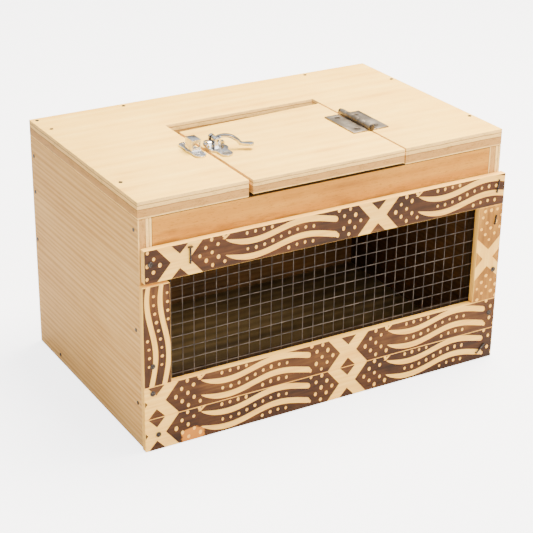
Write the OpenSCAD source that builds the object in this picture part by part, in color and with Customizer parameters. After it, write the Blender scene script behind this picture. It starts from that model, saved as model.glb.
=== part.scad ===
// Plywood carrying cage for small birds: a nailed box with a wire mesh window in front, a lid
// door on a butt hinge in its top, and a lever latch that holds the lid. Millimetres, +Z up.
// The origin is at the bottom centre, the front faces -Y, and the lid's hinge is at the right.

/* [Box] */
// Width over the two side panels
box_w = 430; // [360:1:600]
// Depth of the side panels, from front to back
box_d = 268; // [220:1:400]
// Height from the floor to the upper face of the top board
box_h = 268; // [240:1:400]
// Thickness of the side, back, front and floor panels
panel_t = 15; // [12:0.5:20]
// Thickness of the top board
top_t = 18; // [15:0.5:22]

/* [Window] */
// Width of the front panel's stiles beside the window cut-out
stile_w = 10; // [6:0.5:12]
// Height of the clear window between the trim strips
window_h = 113; // [90:1:130]
// How far the front panel's cut-out is larger than the window, above and below
cutout_margin = 4; // [1:0.5:8]

/* [Trim strips] */
// Thickness of the decorated strips
trim_t = 8; // [5:0.5:12]
// Height of each of the two bottom strips
bottom_trim_h = 36.4; // [28:0.2:42]
// Height of the top strip
top_trim_h = 35; // [28:0.5:42]
// Width of the left upright strip
left_trim_w = 30; // [24:0.5:36]
// Width of the right upright strip
right_trim_w = 31.5; // [24:0.5:36]
// How far the strips reach past the side panels
trim_overhang = 1.5; // [0:0.5:3]
// How far the top strip's left end stops short of the other strips' ends
top_trim_inset = 2.7; // [0:0.1:5]
// Gap between strips that lie edge to edge
trim_gap = 0.2; // [0:0.1:1]
// Gap that the left strip leaves below the top strip
left_trim_gap = 3.2; // [0:0.1:6]

/* [Wire mesh] */
// Diameter of the mesh wires
wire_d = 0.9; // [0.7:0.1:1.4]
// Distance between upright wires
pitch_x = 12.7; // [8:0.1:16]
// Distance between level wires
pitch_z = 13.7; // [8:0.1:16]
// How far the outermost upright wire stays inside the side panel's inner face
mesh_side_room = 5.8; // [2:0.1:9]

/* [Lid] */
// Width of the lid door
lid_w = 179; // [120:0.5:220]
// Thickness of the lid door
lid_t = 15; // [12:0.5:18]
// Depth of the lid at its latch side
lid_d_left = 158; // [100:1:175]
// Depth of the lid at its hinge side
lid_d_right = 167; // [100:1:175]
// How far the lid's front edge stands out in front of the box
lid_proud = 2; // [0:0.5:4]
// Depth of the notch in the top board, from the front
notch_d = 182; // [150:1:210]
// Distance of the notch's left edge from the left side of the box
notch_x = 121; // [100:1:160]
// Gap at the latch side of the lid
lid_gap_left = 3.5; // [1:0.5:6]
// Gap at the hinge side of the lid
lid_gap_right = 2.5; // [1:0.5:6]

/* [Hinge] */
// Length of the butt hinge
hinge_l = 58; // [45:1:80]
// Width of each leaf, from the pin's axis to the edge
leaf_w = 22; // [16:0.5:26]
// Thickness of the leaves
leaf_t = 1.4; // [1:0.1:2]
// Outer diameter of the hinge barrel
barrel_d = 7.2; // [6:0.1:8]
// Diameter of the hinge pin
hinge_pin_d = 3; // [2:0.1:3.4]
// Distance from the front of the box to the middle of the hinge
hinge_y = 91; // [50:0.5:130]

/* [Latch] */
// Distance from the front of the box to the middle of the latch's base plate
latch_y = 90.5; // [60:0.5:130]
// Distance from the front of the box to the middle of the tongue
tongue_y = 95; // [60:0.5:130]
// Distance from the front of the box to the middle of the keeper
keeper_y = 98; // [60:0.5:130]
// Length of the latch's base plate
latch_l = 50; // [46:1:60]
// Length of the keeper's base plate
keeper_l = 46; // [40:1:60]
// Height of the keeper's box over the top board
keeper_h = 14; // [12:0.5:20]
// Width of the latch tongue
tongue_w = 5; // [4:0.5:7]
// Height of the latch tongue
tongue_h = 4.6; // [4:0.2:6]
// Diameter of the lever's pivot pin
lever_pin_d = 2.4; // [2:0.1:3]

/* [Nails and screws] */
// Diameter of the nail shanks
nail_d = 1.8; // [1.4:0.1:2.5]
// Diameter of the nail heads
nail_head_d = 4; // [3:0.1:6]
// Diameter of the heads of the nails in the strips
trim_nail_head_d = 5.6; // [4:0.1:7]
// Diameter of the screw heads
screw_head_d = 7; // [5:0.1:8]

/* [Hidden] */
$fn = 48;
eps = 0.01;

// Fits
pin_fit = 0.05;      // radial clearance of a pin in the piece that turns on it
slide_fit = 0.15;    // clearance of the tongue in its guide, each way
knuckle_gap = 0.2;   // end play between hinge knuckles
board_gap = 0.3;     // joint between panels that are nailed together
wire_gap = 0.02;     // between wires that cross

// Box
mesh_t = 2 * wire_d + 3 * wire_gap;
nail_proud = (nail_d + trim_nail_head_d) / 2;
front_stack = mesh_t + trim_t + nail_proud;
front_y = (front_stack - box_d) / 2;
back_y = front_y + box_d;
side_x = box_w / 2;
inner_x = side_x - panel_t;
wall_h = box_h - top_t;
trim_x = side_x + trim_overhang;
trim_back_y = front_y - mesh_t;
trim_front_y = trim_back_y - trim_t;

// Window
window_z0 = 2 * bottom_trim_h + trim_gap;
window_z1 = window_z0 + window_h;
trim_top_z = window_z1 + top_trim_h;

// Lid, counted from the left side and the front of the box
notch_x0 = notch_x - side_x;
lid_x0 = notch_x0 + lid_gap_left;
lid_x1 = lid_x0 + lid_w;
notch_x1 = lid_x1 + lid_gap_right;
lid_front_y = front_y - lid_proud;
notch_back_y = front_y + notch_d;

// Hinge: the barrel lies on the boards, over the gap
hinge_x = lid_x1 + lid_gap_right / 2;
hinge_z = box_h + barrel_d / 2;
hinge_y0 = front_y + hinge_y - hinge_l / 2;
knuckles = 5;
knuckle_l = hinge_l / knuckles;
hinge_screw_x = leaf_w / 2 + 0.5;
hinge_screw_y = hinge_l / 3;
hinge_pin_head_d = barrel_d - 1.2;
hinge_pin_head_h = 1.4;
hinge_pin_tail = 1.6;

// Screws
screw_d = 3;
screw_l = 13;
screw_slot = 1;
screw_fit = 0.15;
screw_head_h = (screw_head_d - screw_d) / 2;
tip_l = 3;

// Latch: its plate lies on the lid, with the pivot pin along Y over the tongue
latch_t = 2;
latch_cy = front_y + latch_y;
tongue_cy = front_y + tongue_y;
latch_cx = lid_x0 + 11;
ear_r = 6.5;
waist_r = 11;
ear_y = latch_l / 2 - ear_r;
pivot_x = lid_x0 + 9.5;
pivot_z = box_h + 10;
lug_r = 3.6;
lug_t = 2.6;
lug_gap = 0.3;
eye_w = tongue_w + 5;
tongue_z = box_h + latch_t + slide_fit;
tongue_nose_x = lid_x0 - 3.2;
tongue_l = 23;
guide_x0 = lid_x0 + 0.5;
guide_l = 4.8;
guide_wall = 2;
arm_r = pivot_z - (tongue_z + tongue_h / 2);
arm_end_r = 1.4;
arm_w = 2.6;
arm_t = 1.8;
eye_r = pivot_z - (tongue_z + tongue_h) - 0.3;
tongue_slot_w = 3.2;
tongue_slot_x0 = pivot_x - 2.6;
tongue_slot_x1 = pivot_x + 1.4;
tongue_bevel = 3;
coil_d = 0.8;
coil_pitch = 0.75;
coil_turns = 3;
coil_l = coil_d + coil_pitch * (coil_turns - 1);
coil_y1 = eye_w / 2 - 0.1;
coil_r = 2.2;

// Lever: the long arm arches over the lid, turned towards the front, and ends in a finger tab
arm_turn = -33;
arch_r = 17.5;
arch_angle = 80;
lever_t = 3;
lever_w = 4.4;
arch_half = arch_r * sin(arch_angle / 2);
arch_drop = arch_r * cos(arch_angle / 2);
tab_x = 2 * arch_half + 4;
tab_z = -5.6;
tab_t = 2.4;
tab_l = 10;
tab_r = 4;

// Keeper: its plate lies on the top board, its mouth faces the latch
keeper_t = 2;
keeper_cy = front_y + keeper_y;
keeper_x1 = notch_x0 - 3.5;
keeper_w = 15;
keeper_cx = keeper_x1 - keeper_w / 2;
keeper_box_w = 10.5;
keeper_box_l = 15.5;
keeper_wall = 1.7;
keeper_box_x1 = keeper_x1 - 1.5;
keeper_box_x0 = keeper_box_x1 - keeper_box_w;
keeper_hole_z0 = box_h + 5.2;
keeper_hole_z1 = box_h + 10.4;
keeper_ear_y = keeper_l / 2 - ear_r;

// Nails
nail_l = 24;
board_nail_l = 30;
trim_nail_l = 28;
nail_head_t = 0.5;
bent_stub_l = 14;
bent_nail_l = 17;

plywood = "#f0d9b4";
side_wood = "#d4b48c";
front_wood = "#e0ac72";
trim_wood = "#8a5a3a";
chrome = "#d8dadc";
zinc = "#a9a7a3";
dark_steel = "#3a3533";

// ---- helpers

// A box from one corner to the opposite one
module block(low, high) {
    translate(low) cube(high - low);
}

// A nail standing along +Z with its head's underside at the origin
module nail(length = nail_l, head = nail_head_d) {
    cylinder(d = head, h = nail_head_t);
    translate([0, 0, -length + tip_l]) cylinder(d = nail_d, h = length - tip_l + eps);
    translate([0, 0, -length]) cylinder(d1 = 0.3, d2 = nail_d, h = tip_l + eps);
}

// A countersunk screw along -Z with its head's top at the origin
module screw() {
    difference() {
        union() {
            translate([0, 0, -screw_head_h]) cylinder(d1 = screw_d, d2 = screw_head_d, h = screw_head_h);
            translate([0, 0, -screw_l + tip_l])
                cylinder(d = screw_d, h = screw_l - tip_l - screw_head_h + eps);
            translate([0, 0, -screw_l]) cylinder(d1 = 0.4, d2 = screw_d, h = tip_l + eps);
        }
        block([-screw_head_d, -screw_slot / 2, -screw_slot], [screw_head_d, screw_slot / 2, screw_slot]);
    }
}

// The hole that takes a countersunk screw, cut down from z = 0
module screw_hole() {
    hole_d = screw_d + 2 * screw_fit;
    sink_d = screw_head_d + 2 * screw_fit;
    translate([0, 0, -screw_head_h - screw_fit])
        cylinder(d1 = hole_d, d2 = sink_d, h = screw_head_h + screw_fit);
    translate([0, 0, -screw_head_d]) cylinder(d = hole_d, h = screw_head_d);
    cylinder(d = sink_d, h = screw_head_d);
}

// A flat plate with two round ears along Y and a rounder middle
module eared_plate(ear, middle, reach, thick) {
    linear_extrude(thick) {
        for (side = [-1, 1]) translate([0, side * reach]) circle(ear);
        circle(middle);
        square([2 * ear, 2 * reach], center = true);
    }
}

// ---- box

module side_panel(side) {
    x0 = side < 0 ? -side_x : inner_x;
    block([x0, front_y, 0], [x0 + panel_t, back_y, wall_h - board_gap]);
}

module left_side_panel() { color(side_wood) side_panel(-1); }
module right_side_panel() { color(side_wood) side_panel(1); }

module back_panel() {
    color(side_wood)
        block([-inner_x + board_gap / 2, back_y - panel_t, 0],
            [inner_x - board_gap / 2, back_y, wall_h - board_gap]);
}

module floor_board() {
    color(side_wood)
        block([-inner_x + board_gap / 2, front_y + panel_t + board_gap, 0],
            [inner_x - board_gap / 2, back_y - panel_t - board_gap, panel_t]);
}

// One panel with the window cut out, which leaves two narrow stiles
module front_panel() {
    color(front_wood)
        difference() {
            block([-inner_x + board_gap / 2, front_y, 0],
                [inner_x - board_gap / 2, front_y + panel_t, wall_h - board_gap]);
            block([-inner_x + stile_w, front_y - 1, window_z0 - cutout_margin],
                [inner_x - stile_w, front_y + panel_t + 1, window_z1 + cutout_margin]);
        }
}

// The notch for the lid is open to the front
module top_board() {
    color(plywood)
        difference() {
            block([-side_x, front_y, wall_h], [side_x, back_y, box_h]);
            block([notch_x0, front_y - 1, wall_h - 1], [notch_x1, notch_back_y, box_h + 1]);
        }
}

// ---- trim strips

module trim(x0, x1, z0, z1) {
    block([x0, trim_front_y, z0], [x1, trim_back_y, z1]);
}

module trim_top() {
    color(trim_wood) trim(-trim_x + top_trim_inset, trim_x, window_z1, trim_top_z);
}

module trim_left() {
    color(trim_wood)
        trim(-trim_x, -trim_x + left_trim_w, window_z0 + trim_gap, window_z1 - left_trim_gap);
}

module trim_right() {
    color(trim_wood)
        trim(trim_x - right_trim_w, trim_x, window_z0 + trim_gap, window_z1 - trim_gap);
}

module trim_bottom_upper() {
    color(trim_wood) trim(-trim_x, trim_x, bottom_trim_h + trim_gap, window_z0);
}

module trim_bottom_lower() {
    color(trim_wood) trim(-trim_x, trim_x, 0, bottom_trim_h);
}

// ---- wire mesh, held between the strips and the front panel

mesh_x0 = -inner_x + mesh_side_room;
mesh_x1 = inner_x - mesh_side_room + 5.3;
mesh_z0 = window_z0 - 7;
mesh_z1 = window_z1 + 9;
row_z0 = window_z0 + 3.8;
wire_end = 3;
upright_count = floor((mesh_x1 - mesh_x0) / pitch_x) + 1;
level_count = floor((mesh_z1 - row_z0) / pitch_z) + 1;

module mesh_upright_wires() {
    color(zinc)
        for (i = [0 : upright_count - 1])
            translate([mesh_x0 + i * pitch_x, front_y - wire_gap - wire_d / 2, mesh_z0])
                cylinder(d = wire_d, h = mesh_z1 - mesh_z0, $fn = 16);
}

module mesh_level_wires() {
    length = (upright_count - 1) * pitch_x + 2 * wire_end;
    color(zinc)
        for (i = [0 : level_count - 1])
            translate([mesh_x0 - wire_end, trim_back_y + wire_gap + wire_d / 2, row_z0 + i * pitch_z])
                rotate([0, 90, 0]) cylinder(d = wire_d, h = length, $fn = 16);
}

// ---- lid door

module lid_door() {
    color(plywood)
        translate([0, 0, box_h - lid_t])
            linear_extrude(lid_t)
                polygon([[lid_x0, lid_front_y], [lid_x1, lid_front_y],
                    [lid_x1, lid_front_y + lid_d_right], [lid_x0, lid_front_y + lid_d_left]]);
}

// ---- hinge

// side is -1 for the leaf on the lid and 1 for the one on the board
module hinge_leaf(side, first) {
    leaf_x = leaf_w * side;
    difference() {
        union() {
            block([min(0, leaf_x), 0, -barrel_d / 2], [max(0, leaf_x), hinge_l, -barrel_d / 2 + leaf_t]);
            for (i = [first : 2 : knuckles - 1])
                translate([0, i * knuckle_l + knuckle_gap / 2, 0])
                    rotate([-90, 0, 0]) cylinder(d = barrel_d, h = knuckle_l - knuckle_gap);
        }
        for (i = [1 - first : 2 : knuckles - 1])
            block([-barrel_d / 2 - 0.3, i * knuckle_l - knuckle_gap / 2, -barrel_d],
                [barrel_d / 2 + 0.3, (i + 1) * knuckle_l + knuckle_gap / 2, barrel_d]);
        translate([0, -1, 0]) rotate([-90, 0, 0]) cylinder(d = hinge_pin_d + 2 * pin_fit, h = hinge_l + 2);
        for (y = [-1, 1])
            translate([side * hinge_screw_x, hinge_l / 2 + y * hinge_screw_y, -barrel_d / 2 + leaf_t])
                screw_hole();
    }
}

module at_hinge() {
    translate([hinge_x, hinge_y0, hinge_z]) children();
}

module hinge_leaf_fixed() { color(zinc) at_hinge() hinge_leaf(1, 0); }
module hinge_leaf_lid() { color(zinc) at_hinge() hinge_leaf(-1, 1); }

module hinge_pin() {
    color(dark_steel)
        at_hinge() rotate([-90, 0, 0]) {
            cylinder(d = hinge_pin_d, h = hinge_l + hinge_pin_tail);
            translate([0, 0, -hinge_pin_head_h]) cylinder(d = hinge_pin_head_d, h = hinge_pin_head_h + eps);
            translate([0, 0, hinge_l + hinge_pin_tail - eps])
                cylinder(d = hinge_pin_head_d, h = hinge_pin_head_h);
        }
}

module hinge_screws(side) {
    at_hinge()
        for (y = [-1, 1])
            translate([side * hinge_screw_x, hinge_l / 2 + y * hinge_screw_y, -barrel_d / 2 + leaf_t])
                screw();
}

module hinge_screws_fixed() { color(zinc) hinge_screws(1); }
module hinge_screws_lid() { color(zinc) hinge_screws(-1); }

// ---- keeper

// The box is open towards the latch, and has a hole at the front
module keeper() {
    half_l = keeper_box_l / 2;
    inner_x0 = keeper_box_x0 + keeper_wall;
    color(chrome)
        difference() {
            union() {
                translate([keeper_cx, keeper_cy, box_h])
                    eared_plate(ear_r, keeper_w / 2, keeper_ear_y, keeper_t);
                block([keeper_box_x0, keeper_cy - half_l, box_h],
                    [keeper_box_x1, keeper_cy + half_l, box_h + keeper_h]);
            }
            block([inner_x0, keeper_cy - half_l + keeper_wall, box_h + keeper_t],
                [keeper_box_x1 + 1, keeper_cy + half_l - keeper_wall, box_h + keeper_h - keeper_wall]);
            block([inner_x0, keeper_cy - half_l - 1, keeper_hole_z0],
                [keeper_box_x1 - keeper_wall, keeper_cy, keeper_hole_z1]);
            for (side = [-1, 1])
                translate([keeper_cx, keeper_cy + side * keeper_ear_y, box_h + keeper_t]) screw_hole();
        }
}

module keeper_screws() {
    color(chrome)
        for (side = [-1, 1])
            translate([keeper_cx, keeper_cy + side * keeper_ear_y, box_h + keeper_t]) screw();
}

// ---- latch

module latch_body() {
    guide_w = tongue_w + 2 * (guide_wall + slide_fit);
    guide_top = tongue_z + tongue_h + slide_fit + guide_wall;
    lug_y = eye_w / 2 + lug_gap;
    color(chrome)
        difference() {
            union() {
                translate([latch_cx, latch_cy, box_h]) eared_plate(ear_r, waist_r, ear_y, latch_t);
                block([guide_x0, tongue_cy - guide_w / 2, box_h],
                    [guide_x0 + guide_l, tongue_cy + guide_w / 2, guide_top - guide_w / 2]);
                translate([guide_x0, tongue_cy, guide_top - guide_w / 2])
                    rotate([0, 90, 0]) cylinder(d = guide_w, h = guide_l);
                for (side = [-1, 1]) {
                    lug_y0 = side < 0 ? -lug_y - lug_t : lug_y;
                    translate([0, tongue_cy + lug_y0, 0]) {
                        translate([pivot_x, 0, pivot_z]) rotate([-90, 0, 0]) cylinder(r = lug_r, h = lug_t);
                        block([pivot_x - lug_r, 0, box_h], [pivot_x + lug_r, lug_t, pivot_z]);
                    }
                }
            }
            block([guide_x0 - 1, tongue_cy - tongue_w / 2 - slide_fit, tongue_z - slide_fit],
                [guide_x0 + guide_l + 1, tongue_cy + tongue_w / 2 + slide_fit,
                    tongue_z + tongue_h + slide_fit]);
            // the guide's round top ends flat on the lid
            block([guide_x0 - 1, tongue_cy - guide_w, box_h - guide_w],
                [guide_x0 + guide_l + 1, tongue_cy + guide_w, box_h]);
            translate([pivot_x, tongue_cy - eye_w, pivot_z])
                rotate([-90, 0, 0]) cylinder(d = lever_pin_d, h = 2 * eye_w);
            for (side = [-1, 1])
                translate([latch_cx, latch_cy + side * ear_y, box_h + latch_t]) screw_hole();
        }
}

module latch_screws() {
    color(chrome)
        for (side = [-1, 1])
            translate([latch_cx, latch_cy + side * ear_y, box_h + latch_t]) screw();
}

// The tongue's nose is bevelled, and its slot takes the lever's short arm
module latch_tongue() {
    color(chrome)
        difference() {
            translate([0, tongue_cy + tongue_w / 2, 0]) rotate([90, 0, 0])
                linear_extrude(tongue_w)
                    polygon([[tongue_nose_x, tongue_z + tongue_h * 0.45],
                        [tongue_nose_x + tongue_bevel, tongue_z], [tongue_nose_x + tongue_l, tongue_z],
                        [tongue_nose_x + tongue_l, tongue_z + tongue_h],
                        [tongue_nose_x, tongue_z + tongue_h]]);
            block([tongue_slot_x0, tongue_cy - tongue_slot_w / 2, tongue_z - 1],
                [tongue_slot_x1, tongue_cy + tongue_slot_w / 2, tongue_z + tongue_h + 1]);
        }
}

module latch_lever() {
    color(chrome)
        translate([pivot_x, tongue_cy, pivot_z])
            difference() {
                union() {
                    translate([0, -eye_w / 2, 0]) rotate([-90, 0, 0])
                        cylinder(r = eye_r, h = eye_w / 2 + coil_y1 - coil_l - lug_gap);
                    block([-arm_t / 2, -arm_w / 2, -arm_r - arm_end_r],
                        [arm_t / 2, arm_w / 2, -lever_pin_d / 2]);
                    rotate([0, 0, arm_turn]) {
                        translate([arch_half, lever_w / 2, -arch_drop]) rotate([90, 0, 0])
                            rotate([0, 0, 90 - arch_angle / 2])
                                rotate_extrude(angle = arch_angle)
                                    translate([arch_r - lever_t / 2, 0]) square([lever_t, lever_w]);
                        translate([0, lever_w / 2, 0]) rotate([90, 0, 0])
                            linear_extrude(lever_w)
                                polygon([[2 * arch_half - 2, 0.6], [2 * arch_half + 0.8, 1.6],
                                    [tab_x + 1.6, tab_z + tab_t], [tab_x + 1.6, tab_z],
                                    [tab_x - 0.9, tab_z]]);
                        translate([tab_x, 0, tab_z]) linear_extrude(tab_t) {
                            square([2, lever_w], center = true);
                            polygon([[0, -lever_w / 2], [tab_l, -tab_r], [tab_l, tab_r], [0, lever_w / 2]]);
                            translate([tab_l, 0]) circle(tab_r);
                        }
                    }
                }
                translate([0, -eye_w, 0]) rotate([-90, 0, 0])
                    cylinder(d = lever_pin_d + 2 * pin_fit, h = 2 * eye_w);
            }
}

module lever_pin() {
    length = eye_w + 2 * (lug_gap + lug_t);
    color(dark_steel)
        translate([pivot_x, tongue_cy - length / 2, pivot_z]) rotate([-90, 0, 0])
            cylinder(d = lever_pin_d, h = length);
}

// The return spring is coiled on the pivot pin, beside the lever, and stands on the base plate
module latch_spring() {
    leg_l = pivot_z - box_h - latch_t - 0.05;
    color(zinc)
        translate([pivot_x, tongue_cy + coil_y1 - coil_d / 2, pivot_z]) {
            for (i = [0 : coil_turns - 1])
                translate([0, -i * coil_pitch, 0]) rotate([90, 0, 0])
                    rotate_extrude($fn = 32) translate([coil_r, 0]) circle(d = coil_d, $fn = 16);
            translate([coil_r, 0, -leg_l]) cylinder(d = coil_d - 0.1, h = leg_l + 0.3, $fn = 16);
        }
}

// ---- nails, placed from the edges that they hold

module top_board_nails() {
    edge = panel_t / 2;
    color(dark_steel)
        for (p = [[-side_x + edge + 1, front_y + 54], [-side_x + edge + 2, back_y - 40],
                [-side_x + edge - 1, back_y - edge], [-side_x + 109, back_y - edge],
                [side_x - 86, back_y - edge], [side_x - edge + 2, back_y - 69],
                [side_x - edge + 2, front_y + 50]])
            translate([p[0], p[1], box_h]) nail(board_nail_l);
}

// Heights and depths of the nails that hold the front, back and floor to a side panel
side_nails = [[front_y + 9, wall_h - 13], [front_y + 9, 130], [front_y + 9, 48],
    [back_y - 9, wall_h - 21], [back_y - 8, wall_h - 63], [back_y - 7, 130], [back_y - 58, 8.4]];

module side_panel_nails(side) {
    for (p = side_nails)
        translate([side * side_x, p[0], p[1]]) rotate([0, side * 90, 0]) nail();
}

module left_panel_nails() { color(dark_steel) side_panel_nails(-1); }
module right_panel_nails() { color(dark_steel) side_panel_nails(1); }

// Straight nails through the strips into the side panels' edges
module trim_nails() {
    x = side_x - panel_t / 2;
    color(dark_steel)
        for (p = [[-x, window_z1 + 20.3], [-x + 0.5, window_z0 + 23], [-x, window_z0 - 7.4],
                [-x + 5.5, bottom_trim_h - 19], [x + 2, window_z0 + 36], [x + 1, bottom_trim_h + 20]])
            translate([p[0], trim_front_y, p[1]]) rotate([90, 0, 0]) nail(trim_nail_l, trim_nail_head_d);
}

// Nails that were bent over, so that most of the shank lies on the strip's face
module bent_nail(length, turn) {
    rotate([0, turn, 0]) {
        translate([0, -nail_d / 2, 0]) rotate([-90, 0, 0]) cylinder(d = nail_d, h = bent_stub_l);
        translate([0, -nail_d / 2, 0]) sphere(d = nail_d, $fn = 32);
        translate([0, -nail_d / 2, 0]) cylinder(d = nail_d, h = length);
    }
}

module bent_nails() {
    color(dark_steel) {
        translate([-side_x + 50.5, trim_front_y, window_z1 + 13]) {
            bent_nail(bent_nail_l, 0);
            translate([0, -nail_d / 2, bent_nail_l - eps]) cylinder(d = trim_nail_head_d, h = nail_head_t);
        }
        translate([side_x - 9.2, trim_front_y, window_z1 + 15.2]) bent_nail(14.5, 8);
        translate([side_x - 8.6, trim_front_y, window_z1 - 21.9]) bent_nail(10.2, 7);
        translate([side_x - 19.9, trim_front_y, bottom_trim_h - 27.6]) bent_nail(14, 46);
    }
}

left_side_panel();
right_side_panel();
back_panel();
floor_board();
front_panel();
top_board();
trim_top();
trim_left();
trim_right();
trim_bottom_upper();
trim_bottom_lower();
mesh_upright_wires();
mesh_level_wires();
lid_door();
hinge_leaf_fixed();
hinge_leaf_lid();
hinge_pin();
hinge_screws_fixed();
hinge_screws_lid();
keeper();
keeper_screws();
latch_body();
latch_screws();
latch_tongue();
latch_lever();
lever_pin();
latch_spring();
top_board_nails();
left_panel_nails();
right_panel_nails();
trim_nails();
bent_nails();
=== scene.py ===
"""The looks of a plywood carrying cage: eased plywood boards, carved and stained wood strips,
zinc-coated mesh, worn hinge and plated latch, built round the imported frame. Metres, +Z up."""
import math
import random

import bpy
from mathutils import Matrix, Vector


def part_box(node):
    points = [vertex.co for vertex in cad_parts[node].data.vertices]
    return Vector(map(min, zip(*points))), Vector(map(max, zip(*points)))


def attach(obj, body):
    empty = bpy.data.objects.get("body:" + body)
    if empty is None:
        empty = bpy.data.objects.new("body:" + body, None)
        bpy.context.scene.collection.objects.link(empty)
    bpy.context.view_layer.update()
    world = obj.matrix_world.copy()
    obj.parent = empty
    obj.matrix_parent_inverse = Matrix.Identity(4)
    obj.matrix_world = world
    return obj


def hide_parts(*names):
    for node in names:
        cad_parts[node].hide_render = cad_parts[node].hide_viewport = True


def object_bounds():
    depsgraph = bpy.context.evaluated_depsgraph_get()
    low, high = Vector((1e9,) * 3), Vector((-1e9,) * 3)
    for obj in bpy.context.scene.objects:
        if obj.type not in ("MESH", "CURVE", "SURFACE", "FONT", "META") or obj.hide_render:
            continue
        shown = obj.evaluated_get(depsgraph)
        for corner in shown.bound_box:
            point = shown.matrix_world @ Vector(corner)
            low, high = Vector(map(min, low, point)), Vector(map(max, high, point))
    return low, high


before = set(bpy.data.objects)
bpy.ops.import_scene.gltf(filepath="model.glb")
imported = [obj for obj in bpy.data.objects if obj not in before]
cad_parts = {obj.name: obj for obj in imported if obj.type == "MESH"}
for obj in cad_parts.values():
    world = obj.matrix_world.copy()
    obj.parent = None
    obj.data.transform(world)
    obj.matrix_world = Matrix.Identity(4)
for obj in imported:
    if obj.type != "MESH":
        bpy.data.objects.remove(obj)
cad_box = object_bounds()

MM = 0.001
X, Y, Z = 0, 1, 2
SHARP_ANGLE = math.radians(35)      # an edge sharper than this is eased and shaded sharp
FLAT_ANGLE = math.radians(0.6)      # facets flatter than this are one face
WELD_GAP = 2e-6                     # corners nearer than this, in metres, are one corner
random.seed(11)


# ---- helpers

def linear(code):
    """An sRGB hex value as linear red, green, blue and alpha."""
    parts = [int(code[i:i + 2], 16) / 255 for i in (1, 3, 5)]
    return [p / 12.92 if p <= 0.04045 else ((p + 0.055) / 1.055) ** 2.4 for p in parts] + [1.0]


def put(tree, kind, inputs=None, stops=None, **settings):
    """Adds a node with its settings, a ramp's stops, and its values and links by socket."""
    node = tree.nodes.new(kind)
    for name, value in settings.items():
        setattr(node, name, value)
    for key, value in (inputs or {}).items():
        if isinstance(value, bpy.types.NodeSocket):
            tree.links.new(value, node.inputs[key])
        else:
            node.inputs[key].default_value = value
    if stops:
        ramp = node.color_ramp
        while len(ramp.elements) < len(stops):
            ramp.elements.new(0.5)
        for element, (place, value) in zip(ramp.elements, stops):
            element.position = place
            element.color = linear(value) if isinstance(value, str) else (value, value, value, 1)
    return node


def new_material(name):
    """An empty material, and its tree, with only an output and a shader."""
    material = bpy.data.materials.new(name)
    material.use_nodes = True
    tree = material.node_tree
    tree.nodes.clear()
    shader = put(tree, "ShaderNodeBsdfPrincipled")
    put(tree, "ShaderNodeOutputMaterial", {"Surface": shader.outputs[0]})
    return material, tree, shader


def stretched(tree, coords, spans):
    """Coordinates in which one unit is the given number of millimetres along each axis."""
    scale = [1 / (span * MM) for span in spans]
    return put(tree, "ShaderNodeMapping", {"Vector": coords, "Scale": scale}).outputs[0]


def spans_for(grain, along, across):
    """Spans along the three axes: long along the grain and short across it."""
    spans = [across] * 3
    spans[grain] = along
    return spans


def set_material(piece, material):
    """Gives a piece one material in place of all it had."""
    piece.data.materials.clear()
    piece.data.materials.append(material)


def only(piece):
    """Makes the piece the one that is selected and active."""
    bpy.ops.object.select_all(action="DESELECT")
    piece.select_set(True)
    bpy.context.view_layer.objects.active = piece


def eased_copy(node, width, material, body, name=None):
    """A copy of a CAD piece with its sharp edges rounded over."""
    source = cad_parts[node]
    piece = source.copy()
    piece.data = source.data.copy()
    piece.name = piece.data.name = name or node + "_eased"
    bpy.context.scene.collection.objects.link(piece)
    only(piece)
    bpy.ops.mesh.customdata_custom_splitnormals_clear()
    bpy.ops.object.mode_set(mode="EDIT")
    bpy.ops.mesh.select_all(action="SELECT")
    bpy.ops.mesh.remove_doubles(threshold=WELD_GAP)
    bpy.ops.mesh.dissolve_limited(angle_limit=FLAT_ANGLE)
    bpy.ops.mesh.normals_make_consistent(inside=False)
    bpy.ops.object.mode_set(mode="OBJECT")
    bevel = piece.modifiers.new("ease", "BEVEL")
    bevel.width = width
    bevel.segments = 2
    bevel.limit_method = "ANGLE"
    bevel.angle_limit = SHARP_ANGLE
    bpy.ops.object.modifier_apply(modifier=bevel.name)
    bpy.ops.object.shade_smooth_by_angle(angle=SHARP_ANGLE)
    set_material(piece, material)
    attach(piece, body)
    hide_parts(node)
    return piece


# ---- camera, floor and light

CAMERA_PLACE = (-0.7708, -1.3094, 0.8047)
TURN_RIGHT = 28.6
TILT_DOWN = 24.8
FOCAL_MM = 101.6
FLOOR_SIZE = 14
FLOOR_GAP = 0.2 * MM                # keeps the floor clear of the cage's underside
FLOOR_GLOW = 3.6
LIGHTS_AIM = (0, 0, 0.1)

camera = bpy.data.objects.new("camera", bpy.data.cameras.new("camera"))
bpy.context.scene.collection.objects.link(camera)
camera.location = CAMERA_PLACE
camera.rotation_euler = (math.radians(90 - TILT_DOWN), 0, math.radians(-TURN_RIGHT))
camera.data.sensor_width = 36
camera.data.lens = FOCAL_MM
camera.data.shift_x = 0.087
camera.data.clip_end = 50
bpy.context.scene.camera = camera

bpy.ops.object.select_all(action="DESELECT")
bpy.ops.mesh.primitive_plane_add(size=FLOOR_SIZE, location=(0, 0, cad_box[0][Z] - FLOOR_GAP))
floor = bpy.context.object
floor.name = "floor"
# Matt painted board. It looks brighter to the camera than the light that it throws on the cage
pale, tree, shader = new_material("painted_backdrop")
seen = put(tree, "ShaderNodeLightPath").outputs["Is Camera Ray"]
glow = put(tree, "ShaderNodeMath", {0: seen, 1: FLOOR_GLOW}, operation="MULTIPLY").outputs[0]
tree.links.new(glow, shader.inputs["Emission Strength"])
shader.inputs["Emission Color"].default_value = linear("#FDFDFF")
shader.inputs["Base Color"].default_value = linear("#BCBCBE")
shader.inputs["Roughness"].default_value = 0.85
set_material(floor, pale)


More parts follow.
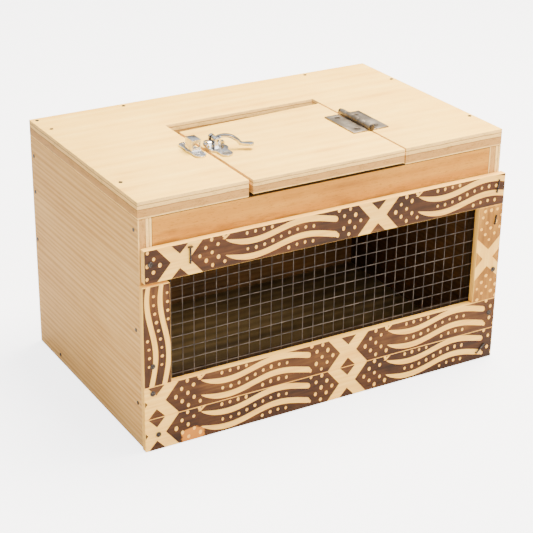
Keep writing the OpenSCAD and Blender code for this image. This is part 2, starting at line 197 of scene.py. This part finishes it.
def area_light(name, place, size, power, tint="#FFFFFF"):
    """A square softbox at a place, turned to the middle of the cage."""
    light = bpy.data.objects.new(name, bpy.data.lights.new(name, "AREA"))
    bpy.context.scene.collection.objects.link(light)
    light.location = place
    light.rotation_euler = (Vector(LIGHTS_AIM) - Vector(place)).to_track_quat("-Z", "Y").to_euler()
    light.data.size = size
    light.data.energy = power
    light.data.color = linear(tint)[:3]


area_light("key", (0.9, 0.1, 2.6), 1.6, 400, "#FFF4E2")
area_light("front_fill", (0.3, -2.6, 1.3), 2.2, 128)
area_light("left_fill", (-2.4, -0.6, 1.2), 2.0, 14)

# The studio is dark low down and bright overhead, which bright metal mirrors as contrast
world = bpy.data.worlds.new("studio")
bpy.context.scene.world = world
world.use_nodes = True
sky = world.node_tree
direction = put(sky, "ShaderNodeTexCoord").outputs["Generated"]
upward = put(sky, "ShaderNodeSeparateXYZ", {"Vector": direction}).outputs[Z]
brightness = put(sky, "ShaderNodeValToRGB", {"Fac": upward}, stops=[
    (0.0, 0.1), (0.22, 0.3), (0.5, 0.95), (0.9, 1.0)]).outputs[0]
sky.links.new(brightness, sky.nodes["Background"].inputs["Color"])
sky.nodes["Background"].inputs["Strength"].default_value = 1.6


# ---- wood

def plywood(name, grain, across, thick, node, faces, plies, streak=9, figure=0.5, rings=55,
            clouding=0.5, scuffs=None, inside=0):
    """Rotary-cut plywood, sanded and unvarnished. The eye sees soft streaks along the grain on the
    faces, and a rough dark core between pale veneers on the edges. grain, across and thick are
    axes, and inside is the sign of the face turned into the cage that gets painted shade, or 0."""
    material, tree, shader = new_material(name)
    low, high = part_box(node)
    texture = put(tree, "ShaderNodeTexCoord")
    coords = texture.outputs["Object"]
    streaks = put(tree, "ShaderNodeTexNoise", {
        "Vector": stretched(tree, coords, spans_for(grain, 260, streak)),
        "Scale": 1, "Detail": 5, "Roughness": 0.6, "Distortion": 0.2}).outputs["Fac"]
    clouds = put(tree, "ShaderNodeTexNoise", {
        "Vector": stretched(tree, coords, spans_for(grain, 90, 45)),
        "Scale": 1, "Detail": 4, "Roughness": 0.6}).outputs["Fac"]
    fibres = put(tree, "ShaderNodeTexNoise", {
        "Vector": stretched(tree, coords, spans_for(grain, 26, 0.9)),
        "Scale": 1, "Detail": 3, "Roughness": 0.7}).outputs["Fac"]
    figured = put(tree, "ShaderNodeTexWave", {
        "Vector": stretched(tree, coords, spans_for(grain, 900, rings)),
        "Scale": 1, "Distortion": 9, "Detail": 3, "Detail Scale": 0.7, "Detail Roughness": 0.6},
        wave_type="BANDS", bands_direction="XYZ"[across], wave_profile="SIN").outputs["Fac"]
    mixed = put(tree, "ShaderNodeMix", {"Factor": figure * 0.5, 2: streaks, 3: figured},
                data_type="FLOAT").outputs[0]
    mixed = put(tree, "ShaderNodeMix", {"Factor": clouding, 2: mixed, 3: clouds},
                data_type="FLOAT").outputs[0]
    face = put(tree, "ShaderNodeValToRGB", {"Fac": mixed},
               stops=[(0.33, faces[0]), (0.45, faces[1]), (0.56, faces[2]), (0.68, faces[3])]).outputs[0]
    pores = put(tree, "ShaderNodeValToRGB", {"Fac": fibres}, stops=[(0.3, 0.78), (0.46, 1.0)]).outputs[0]
    face = put(tree, "ShaderNodeMix", {"Factor": 0.5, 6: face, 7: pores}, data_type="RGBA",
               blend_type="MULTIPLY").outputs[2]
    if scuffs:
        face = scuffs(tree, coords, face)
    normal = put(tree, "ShaderNodeSeparateXYZ", {"Vector": texture.outputs["Normal"]})
    # The face turned into the cage gets a dark, patchy painted shade multiplied over its colour
    if inside:
        inner_face = put(tree, "ShaderNodeMath", {0: normal.outputs[thick], 1: 0.8 * inside},
                     operation="GREATER_THAN" if inside > 0 else "LESS_THAN").outputs[0]
        grime_and_shade = put(tree, "ShaderNodeValToRGB", {"Fac": clouds}, stops=[
            (0.35, "#2A1C10"), (0.65, "#59422A")]).outputs[0]
        shaded_face = put(tree, "ShaderNodeMix", {"Factor": 0.93, 6: face, 7: grime_and_shade}, data_type="RGBA",
                           blend_type="MULTIPLY").outputs[2]
        face = put(tree, "ShaderNodeMix", {"Factor": inner_face, 6: face, 7: shaded_face},
                   data_type="RGBA").outputs[2]
    # Edge: the plies follow the height in the board, and wander a little
    separate = put(tree, "ShaderNodeSeparateXYZ", {"Vector": coords})
    wander = put(tree, "ShaderNodeTexNoise", {"Vector": stretched(tree, coords, (30, 30, 30)),
                                              "Scale": 1, "Detail": 3}).outputs["Fac"]
    height = put(tree, "ShaderNodeMapRange", {
        "Value": separate.outputs[thick], "From Min": low[thick], "From Max": high[thick],
        "To Min": -0.035, "To Max": 0.965}).outputs[0]
    height = put(tree, "ShaderNodeMath", {0: wander, 1: 0.07, 2: height},
                 operation="MULTIPLY_ADD").outputs[0]
    bands = put(tree, "ShaderNodeValToRGB", {"Fac": height}, stops=[
        (0.08, plies[0]), (0.11, plies[2]), (0.5, plies[2]), (0.54, plies[1]), (0.57, plies[0]),
        (0.75, plies[0]), (0.79, plies[1]), (0.82, plies[0])]).outputs[0]
    cut_fibres = put(tree, "ShaderNodeTexNoise", {
        "Vector": stretched(tree, coords, spans_for(thick, 0.7, 1.6)),
        "Scale": 1, "Detail": 4, "Roughness": 0.7}).outputs["Fac"]
    voids = put(tree, "ShaderNodeTexNoise", {
        "Vector": stretched(tree, coords, spans_for(thick, 3.5, 14)),
        "Scale": 1, "Detail": 4, "Roughness": 0.7}).outputs["Fac"]
    cut_mix = put(tree, "ShaderNodeMix", {"Factor": 0.5, 2: cut_fibres, 3: voids},
                  data_type="FLOAT").outputs[0]
    dark = put(tree, "ShaderNodeValToRGB", {"Fac": cut_mix}, stops=[
        (0.36, 0.42), (0.5, 0.95), (0.6, 1.0)]).outputs[0]
    edge = put(tree, "ShaderNodeMix", {"Factor": 0.75, 6: bands, 7: dark}, data_type="RGBA",
               blend_type="MULTIPLY").outputs[2]
    facing = put(tree, "ShaderNodeMath", {0: normal.outputs[thick]}, operation="ABSOLUTE").outputs[0]
    on_face = put(tree, "ShaderNodeMath", {0: facing, 1: 0.8}, operation="GREATER_THAN").outputs[0]
    colour = put(tree, "ShaderNodeMix", {"Factor": on_face, 6: edge, 7: face},
                 data_type="RGBA").outputs[2]
    tree.links.new(colour, shader.inputs["Base Color"])
    shader.inputs["Roughness"].default_value = 0.66
    shader.inputs["Specular IOR Level"].default_value = 0.2
    height = put(tree, "ShaderNodeMix", {"Factor": on_face, 2: cut_fibres, 3: fibres},
                 data_type="FLOAT").outputs[0]
    bump = put(tree, "ShaderNodeBump", {"Height": height, "Strength": 0.35, "Distance": 0.25 * MM})
    tree.links.new(bump.outputs[0], shader.inputs["Normal"])
    return material


# Face veneers, darkest to lightest: honey-coloured birch, streaky pine and orange-brown okoume
TOP_FACES = ["#DBA543", "#E9B84E", "#EEC056", "#F3CC66"]
SIDE_FACES = ["#BC8844", "#CE9B54", "#D8A75F", "#DFB16A"]
FRONT_FACES = ["#985E16", "#B2741E", "#BC7F26", "#CA9138"]
# Sawn edges: the outer veneers, the glue lines and the core
PLIES = ["#E6B868", "#7A4C20", "#BC8844"]
# The same, made dark as painted shade
SHADED_PLIES = ["#3E2B15", "#24180B", "#33230F"]
# Pine of the floor board, made very dark as painted shade for the inside of the cage
FLOOR_FACES = ["#362812", "#47371C", "#544326", "#635134"]


def front_scuffs(tree, coords, face):
    """Short dark pores all over, and darker yellow-brown patches low on the board, thickest just over
    the top strip.
    """
    flecks = put(tree, "ShaderNodeTexNoise", {
        "Vector": stretched(tree, coords, (5, 5, 1.1)), "Scale": 1, "Detail": 3,
        "Roughness": 0.7}).outputs["Fac"]
    dark = put(tree, "ShaderNodeValToRGB", {"Fac": flecks}, stops=[(0.33, 0.55), (0.43, 1.0)]).outputs[0]
    face = put(tree, "ShaderNodeMix", {"Factor": 0.7, 6: face, 7: dark}, data_type="RGBA",
               blend_type="MULTIPLY").outputs[2]
    dark_patches = put(tree, "ShaderNodeTexNoise", {
        "Vector": stretched(tree, coords, (40, 40, 9)), "Scale": 1, "Detail": 6,
        "Roughness": 0.65}).outputs["Fac"]
    height = put(tree, "ShaderNodeSeparateXYZ", {"Vector": coords}).outputs[Z]
    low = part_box("trim_top")[1][Z]
    near_trim = put(tree, "ShaderNodeMapRange", {
        "Value": height, "From Min": low, "From Max": low + 16 * MM,
        "To Min": 0.12, "To Max": -0.08}).outputs[0]
    dark_patches = put(tree, "ShaderNodeMath", {0: dark_patches, 1: near_trim}, operation="ADD").outputs[0]
    amount = put(tree, "ShaderNodeValToRGB", {"Fac": dark_patches}, stops=[
        (0.54, 0.0), (0.72, 0.75)]).outputs[0]
    return put(tree, "ShaderNodeMix", {"Factor": amount, 6: face, 7: linear("#8A5410")},
               data_type="RGBA").outputs[2]


# Birch, sanded smooth: the eye sees an even pale face with long faint streaks
top_wood = plywood("sanded_birch_plywood", X, Y, Z, "top_board", TOP_FACES, PLIES,
                   streak=14, figure=0.3)
lid_wood = plywood("sanded_birch_plywood_lid", X, Y, Z, "lid_door", TOP_FACES, PLIES,
                   streak=14, figure=0.45)
# The floor board's dark faces and edges are painted shade
floor_wood = plywood("bare_pine_plywood_floor", X, Y, Z, "floor_board", FLOOR_FACES, SHADED_PLIES)
# Pine: the eye sees narrow darker lines of late wood along the grain
PINE = {"streak": 2.6, "figure": 0.6, "rings": 19, "clouding": 0.32}
# inside gives each panel's face that is turned into the cage a painted shade
side_left_wood = plywood("bare_pine_plywood_left", Y, Z, X, "left_side_panel", SIDE_FACES, PLIES,
                         inside=1, **PINE)
side_right_wood = plywood("bare_pine_plywood_right", Y, Z, X, "right_side_panel", SIDE_FACES, PLIES,
                          inside=-1, **PINE)
back_wood = plywood("bare_pine_plywood_back", X, Z, Y, "back_panel", SIDE_FACES, PLIES,
                    inside=-1, **PINE)
# Okoume, a soft orange-brown veneer: the eye sees fine pores and darker patches over the top strip. Its
# face inside the cage and its edges are painted shade
front_wood = plywood("bare_okoume_plywood", X, Z, Y, "front_panel", FRONT_FACES, SHADED_PLIES,
                     streak=6, figure=0.4, inside=1, scuffs=front_scuffs)

BOARD_EASE = 0.6 * MM
for node, wood, body, slot in (
        ("top_board", top_wood, "root", "top_plywood"),
        ("lid_door", lid_wood, "lid", "top_plywood"),
        ("left_side_panel", side_left_wood, "root", "side_plywood"),
        ("right_side_panel", side_right_wood, "root", "side_plywood"),
        ("back_panel", back_wood, "root", "side_plywood"),
        ("floor_board", floor_wood, "root", "side_plywood"),
        ("front_panel", front_wood, "root", "front_plywood")):
    eased_copy(node, BOARD_EASE, wood, body)


# ---- carved strips, in millimetres: u runs along a strip and v runs down from its top edge

STRIP_H = 35            # height of a strip
REPEAT = 229            # from one cross's middle to the next
APEX = 10               # from a cross's middle to the point of the field beside it
CARVE_DEPTH = 0.55
STRIP_EASE = 0.7
WAVE_L = 130            # length of a wave band
WAVE_START = 50         # from a cross's middle to the start of the bands
BAND_HALF = 3.3         # half the width of a band
BAND_TIP = 9            # length over which a band's tip swells
BAND_STEP = 16.6        # from the upper band down to the lower one
DOT_STEP = 9.5          # from dot to dot along a band
DOT_R = 1.95            # dots of the pointed fields
ROW_DOT_R = 1.7         # dots of the rows


def wave_height(s):
    """Centre line of the upper wave band below the strip's top edge, s mm from its start."""
    return 8 + 5 * math.cos(2 * math.pi * (s - 30) / 120) - 2 * math.exp(-s / BAND_TIP)


def band_outline(offset):
    """A wave band, offset mm below the upper one, with a tapered start and a rounded end."""
    count = 40
    tip_r = 1.2
    upper, lower = [], []
    for i in range(count + 1):
        s = WAVE_L * (1 - math.cos(math.pi * i / count)) / 2
        half = BAND_HALF * (1 - 0.9 * math.exp(-s / BAND_TIP))
        end = WAVE_L - s
        if end < BAND_HALF:
            half *= math.sqrt(max(0, 1 - ((BAND_HALF - end) / BAND_HALF) ** 2))
        if s < tip_r:
            half *= math.sqrt(max(0, 1 - ((tip_r - s) / tip_r) ** 2))
        middle = wave_height(s) + offset
        upper.append((s, middle - half))
        lower.append((s, middle + half))
    return upper + lower[-2:0:-1]


def dot_outline(u, v, radius=DOT_R):
    """A bored dot, a little out of round."""
    radius *= random.uniform(0.86, 1.1)
    tall = random.uniform(1.05, 1.3)
    return [(u + radius * math.cos(a * math.pi / 6), v + radius * tall * math.sin(a * math.pi / 6))
            for a in range(12)]


def lattice():
    """The ten dots of a pointed field, from its apex: rows of a diamond lattice."""
    up, down = (6.5, -7.5), (7, 6.2)
    cells = [(i, j) for j in range(3) for i in range(3) if (i, j) != (2, 2)] + [(3, 1), (1, 3)]
    return [(11.6 + i * up[0] + j * down[0], STRIP_H / 2 + i * up[1] + j * down[1]) for i, j in cells]


def cross_outline():
    """The light cross between two pointed fields, with notches for the dark triangles."""
    wide, over = APEX + 16, 1
    notch, notch_deep = 9, 10
    rim = 0.6
    return [(-wide, -over), (-notch, -over), (-notch, rim), (0, notch_deep), (notch, rim),
            (notch, -over), (wide, -over), (APEX, STRIP_H / 2), (wide, STRIP_H + over),
            (notch, STRIP_H + over), (notch, STRIP_H - rim), (0, STRIP_H - notch_deep),
            (-notch, STRIP_H - rim), (-notch, STRIP_H + over), (-wide, STRIP_H + over),
            (-APEX, STRIP_H / 2)]


def repeat_outlines():
    """All the carved shapes of one repeat, from one cross's middle to the next."""
    shapes = [cross_outline()]
    for u, v in lattice():
        shapes.append(dot_outline(APEX + u, v))
        shapes.append(dot_outline(REPEAT - APEX - u, v))
    for offset in (0, BAND_STEP):
        shapes.append([(WAVE_START + s, v) for s, v in band_outline(offset)])
    # Short rows over the upper band's start and under the lower band's end, then the long middle row
    for k in range(4):
        shapes.append(dot_outline(WAVE_START + 24 + DOT_STEP * k, 3.9 - 0.3 * k, ROW_DOT_R))
        s = 72 + DOT_STEP * k
        shapes.append(dot_outline(WAVE_START + s, wave_height(s) + 24.6, ROW_DOT_R))
    for k in range(9):
        s = 25 + DOT_STEP * k
        shapes.append(dot_outline(WAVE_START + s, wave_height(s) + BAND_STEP / 2, ROW_DOT_R))
    # A slanting cut that leads into the upper band
    shapes.append([(46.5, 4.6), (54, -1), (57, -1), (49.5, 5.4)])
    return shapes


def clipped(outline, u0, u1, margin=1.0):
    """True if the outline touches the strip between u0 and u1."""
    return max(u for u, v in outline) > u0 + margin and min(u for u, v in outline) < u1 - margin


def carve(node, outlines, place, material):
    """Cuts the outlines into a strip's front face. place turns (u, v) in mm into (x, z) in metres."""
    piece = eased_copy(node, STRIP_EASE * MM, material, "root", name=node + "_carved")
    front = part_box(node)[0][Y]
    stand_off = 1
    cutters = []
    for outline in outlines:
        bpy.ops.object.select_all(action="DESELECT")
        bpy.ops.mesh.primitive_circle_add(vertices=len(outline), radius=1, fill_type="NGON")
        cutter = bpy.context.object
        for vertex, point in zip(cutter.data.vertices, outline):
            x, z = place(*point)
            vertex.co = (x, front - stand_off * MM, z)
        bpy.ops.object.mode_set(mode="EDIT")
        bpy.ops.mesh.select_all(action="SELECT")
        bpy.ops.mesh.extrude_region_move(
            TRANSFORM_OT_translate={"value": (0, (CARVE_DEPTH + stand_off) * MM, 0)})
        bpy.ops.mesh.select_all(action="SELECT")
        bpy.ops.mesh.normals_make_consistent(inside=False)
        bpy.ops.object.mode_set(mode="OBJECT")
        cutters.append(cutter)
    bpy.ops.object.select_all(action="DESELECT")
    for cutter in cutters:
        cutter.select_set(True)
    bpy.context.view_layer.objects.active = cutters[0]
    bpy.ops.object.join()
    tool = bpy.context.object
    only(piece)
    cut = piece.modifiers.new("carve", "BOOLEAN")
    cut.object = tool
    cut.operation = "DIFFERENCE"
    cut.solver = "EXACT"
    cut.use_self = True
    bpy.ops.object.modifier_apply(modifier=cut.name)
    bpy.data.objects.remove(tool)
    bpy.ops.object.shade_smooth_by_angle(angle=math.radians(30))
    return piece


def stained(name, node, stains, bare, grain=X, patch=None):
    """Pale wood strip, stained brown on its face and then carved through the stain. The eye sees
    a patchy brown film over the grain, and bare wood in the cuts and on the sawn edges."""
    material, tree, shader = new_material(name)
    coords = put(tree, "ShaderNodeTexCoord").outputs["Object"]
    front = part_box(node)[0][Y]
    streaks = put(tree, "ShaderNodeTexNoise", {
        "Vector": stretched(tree, coords, spans_for(grain, 70, 3.5)),
        "Scale": 1, "Detail": 5, "Roughness": 0.6}).outputs["Fac"]
    clouds = put(tree, "ShaderNodeTexNoise", {
        "Vector": stretched(tree, coords, spans_for(grain, 60, 30)),
        "Scale": 1, "Detail": 4, "Roughness": 0.65}).outputs["Fac"]
    mixed = put(tree, "ShaderNodeMix", {"Factor": 0.6, 2: streaks, 3: clouds},
                data_type="FLOAT").outputs[0]
    stain = put(tree, "ShaderNodeValToRGB", {"Fac": mixed}, stops=[
        (0.32, stains[0]), (0.45, stains[1]), (0.56, stains[2]), (0.68, stains[3])]).outputs[0]
    wood = put(tree, "ShaderNodeValToRGB", {"Fac": streaks}, stops=[
        (0.3, bare[0]), (0.5, bare[1]), (0.7, bare[2])]).outputs[0]
    if patch:
        stain = patch(tree, coords, stain)
    depth = put(tree, "ShaderNodeSeparateXYZ", {"Vector": coords}).outputs[Y]
    ragged = put(tree, "ShaderNodeTexNoise", {"Vector": stretched(tree, coords, (2, 2, 2)),
                                              "Scale": 1, "Detail": 2}).outputs["Fac"]
    depth = put(tree, "ShaderNodeMath", {0: ragged, 1: 0.12 * MM, 2: depth},
                operation="MULTIPLY_ADD").outputs[0]
    cut_through = put(tree, "ShaderNodeMapRange", {
        "Value": depth, "From Min": front + 0.12 * MM, "From Max": front + 0.28 * MM}).outputs[0]
    colour = put(tree, "ShaderNodeMix", {"Factor": cut_through, 6: stain, 7: wood},
                 data_type="RGBA").outputs[2]
    tree.links.new(colour, shader.inputs["Base Color"])
    shader.inputs["Roughness"].default_value = 0.58
    shader.inputs["Specular IOR Level"].default_value = 0.2
    bump = put(tree, "ShaderNodeBump", {"Height": streaks, "Strength": 0.25, "Distance": 0.3 * MM})
    tree.links.new(bump.outputs[0], shader.inputs["Normal"])
    return material


# Raw poplar, and the stain on it, darkest to lightest
BARE = ["#E2A246", "#F0B854", "#F7C864"]
BROWN = ["#241205", "#391F0A", "#4B2A11", "#6D441B"]
LIGHT_BROWN = ["#291506", "#40230C", "#543214", "#794C1D"]
DARK_BROWN = ["#1D0E06", "#321B0A", "#472810", "#6A4119"]
OCHRE = ["#6A4014", "#8C5A1C", "#A87226", "#C08C3C"]


def worn_corner(tree, coords, stain):
    """A patch near the lower strip's left end where the stain has gone and raw wood shows."""
    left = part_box("trim_bottom_lower")[0][X]
    offset = put(tree, "ShaderNodeVectorMath", {
        0: coords, 1: (left + 54 * MM, 0, 6 * MM)}, operation="SUBTRACT").outputs[0]
    half_l, half_h = 16 * MM, 12 * MM
    shaped = put(tree, "ShaderNodeMapping", {
        "Vector": offset, "Scale": (1 / half_l, 0, 1 / half_h)}).outputs[0]
    away = put(tree, "ShaderNodeVectorMath", {0: shaped}, operation="LENGTH").outputs["Value"]
    rough = put(tree, "ShaderNodeTexNoise", {
        "Vector": stretched(tree, coords, (12, 12, 5)), "Scale": 1, "Detail": 5,
        "Roughness": 0.6}).outputs["Fac"]
    away = put(tree, "ShaderNodeMath", {0: rough, 1: 0.9, 2: away},
               operation="MULTIPLY_ADD").outputs[0]
    amount = put(tree, "ShaderNodeMapRange", {
        "Value": away, "From Min": 1.3, "From Max": 1.2}).outputs[0]
    return put(tree, "ShaderNodeMix", {"Factor": amount, 6: stain, 7: linear("#B87022")},
               data_type="RGBA").outputs[2]


def carve_row(node, centres, material):
    """Carves a level strip. centres are the places of its crosses' middles, in mm from the cage's
    left side."""
    low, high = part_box(node)
    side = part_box("left_side_panel")[0][X]
    tall = (high[Z] - low[Z]) / (STRIP_H * MM)
    shapes = []
    for centre in centres:
        start = centre * MM + side
        u0, u1 = (low[X] - start) / MM, (high[X] - start) / MM
        shapes += [[(u + centre, v) for u, v in outline] for outline in repeat_outlines()
                   if clipped(outline, u0, u1)]
    carve(node, shapes, lambda u, v: (side + u * MM, high[Z] - v * MM * tall), material)


TOP_CROSS = 39.6
BOTTOM_CROSSES = (11.5 - REPEAT, 11.5, 238, 238 + REPEAT)
carve_row("trim_top", (TOP_CROSS - REPEAT, TOP_CROSS, TOP_CROSS + REPEAT),
          stained("stained_poplar_top", "trim_top", BROWN, BARE))
carve_row("trim_bottom_upper", BOTTOM_CROSSES,
          stained("stained_poplar_upper", "trim_bottom_upper", LIGHT_BROWN, BARE))
carve_row("trim_bottom_lower", BOTTOM_CROSSES,
          stained("stained_poplar_lower", "trim_bottom_lower", DARK_BROWN, BARE, patch=worn_corner))


def carve_left():
    """The left upright strip shows the waves on end, with dot rows between and beside them."""
    low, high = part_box("trim_left")
    wide = (high[X] - low[X]) / (STRIP_H * MM)
    length = (high[Z] - low[Z]) / MM
    shift = 14
    shapes = []
    for outline in repeat_outlines():
        moved = [(u - WAVE_START - shift, v) for u, v in outline]
        if clipped(moved, 0, length) and min(u for u, v in moved) > -40:
            shapes.append(moved)
    carve("trim_left", shapes, lambda u, v: (high[X] - v * MM * wide, high[Z] - u * MM),
          stained("stained_poplar_left", "trim_left", BROWN, BARE, grain=Z))


def carve_right():
    """The right upright strip has one cross between two fields of dots, on a lighter stain."""
    low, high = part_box("trim_right")
    wide = (high[X] - low[X]) / (STRIP_H * MM)
    centre = 61
    shapes = [cross_outline()]
    for u, v in lattice():
        shapes.append(dot_outline(APEX + u, v))
        shapes.append(dot_outline(-APEX - u, v))
    for k in range(3):
        shapes.append(dot_outline(-APEX - 46, 8 + 9 * k))
    carve("trim_right", shapes, lambda u, v: (high[X] - v * MM * wide, high[Z] - (u + centre) * MM),
          stained("stained_poplar_right", "trim_right", OCHRE, BARE, grain=Z))


carve_left()
carve_right()


# ---- metal

def metal(name, colours, roughness, spots, scratches=0.15, metallic=1.0):
    """Metal with a worn surface: the tone and the gloss change in patches spots mm wide. metallic
    is under 1 where grime or rust covers a part of the metal."""
    material, tree, shader = new_material(name)
    coords = put(tree, "ShaderNodeTexCoord").outputs["Object"]
    patches = put(tree, "ShaderNodeTexNoise", {
        "Vector": stretched(tree, coords, (spots, spots, spots)), "Scale": 1, "Detail": 5,
        "Roughness": 0.65}).outputs["Fac"]
    fine = put(tree, "ShaderNodeTexNoise", {
        "Vector": stretched(tree, coords, (0.5, 6, 0.5)), "Scale": 1, "Detail": 3}).outputs["Fac"]
    colour = put(tree, "ShaderNodeValToRGB", {"Fac": patches}, stops=[
        (0.34, colours[0]), (0.5, colours[1]), (0.66, colours[2])]).outputs[0]
    tree.links.new(colour, shader.inputs["Base Color"])
    gloss = put(tree, "ShaderNodeMapRange", {
        "Value": patches, "From Min": 0.3, "From Max": 0.7,
        "To Min": roughness[0], "To Max": roughness[1]}).outputs[0]
    tree.links.new(gloss, shader.inputs["Roughness"])
    shader.inputs["Metallic"].default_value = metallic
    bump = put(tree, "ShaderNodeBump", {"Height": fine, "Strength": scratches, "Distance": 0.05 * MM})
    tree.links.new(bump.outputs[0], shader.inputs["Normal"])
    return material


# Bright plate that mirrors the room, with sharp light and dark
nickel = metal("nickel_plated_steel", ["#A9A8A8", "#C4C3C3", "#DADADA"], (0.12, 0.24), 5)
# Thin pressed sheet, dull and brownish where the zinc has worn
zinc_sheet = metal("worn_zinc_plated_steel", ["#6E6354", "#83786A", "#988E80"], (0.36, 0.46), 18, 0.05)
# Dark oiled pins and spring
pin_steel = metal("oiled_steel", ["#2A2420", "#3E3730", "#5C544A"], (0.35, 0.55), 4, metallic=0.7)
# Screw heads: satin grey on the latch and keeper, dark and dirty on the hinge
screw_steel = metal("zinc_plated_screws", ["#8A8378", "#A8A299", "#C2BDB5"], (0.25, 0.4), 3)
worn_screws = metal("worn_zinc_screws", ["#3A3228", "#574C3F", "#7C7062"], (0.35, 0.5), 3)
# Dull grey-brown wire with faint highlights
wire = metal("galvanised_wire", ["#2A241F", "#433A33", "#62574D"], (0.5, 0.7), 9, metallic=0.6)
# Near-black nail heads with a little bare steel
nail_steel = metal("bare_nail_steel", ["#231C18", "#3D3733", "#6A6661"], (0.35, 0.55), 1.6)

METAL_EASE = 0.25 * MM
LEAF_EASE = 0.15 * MM
for node, ease, finish, body, slot in (
        ("keeper", METAL_EASE, nickel, "root", "latch_chrome"),
        ("latch_body", METAL_EASE, nickel, "lid", "latch_chrome"),
        ("latch_tongue", METAL_EASE, nickel, "tongue", "latch_chrome"),
        ("latch_lever", METAL_EASE, nickel, "lever", "latch_chrome"),
        ("hinge_leaf_fixed", LEAF_EASE, zinc_sheet, "root", "hinge_steel"),
        ("hinge_leaf_lid", LEAF_EASE, zinc_sheet, "lid", "hinge_steel"),
        ("hinge_pin", METAL_EASE, pin_steel, "root", "dark_steel")):
    eased_copy(node, ease, finish, body)

for finish, nodes in (
        (worn_screws, ("hinge_screws_fixed", "hinge_screws_lid")),
        (screw_steel, ("keeper_screws", "latch_screws")),
        (pin_steel, ("lever_pin", "latch_spring")),
        (wire, ("mesh_upright_wires", "mesh_level_wires")),
        (nail_steel, ("top_board_nails", "left_panel_nails", "right_panel_nails", "trim_nails",
                      "bent_nails"))):
    for node in nodes:
        set_material(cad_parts[node], finish)
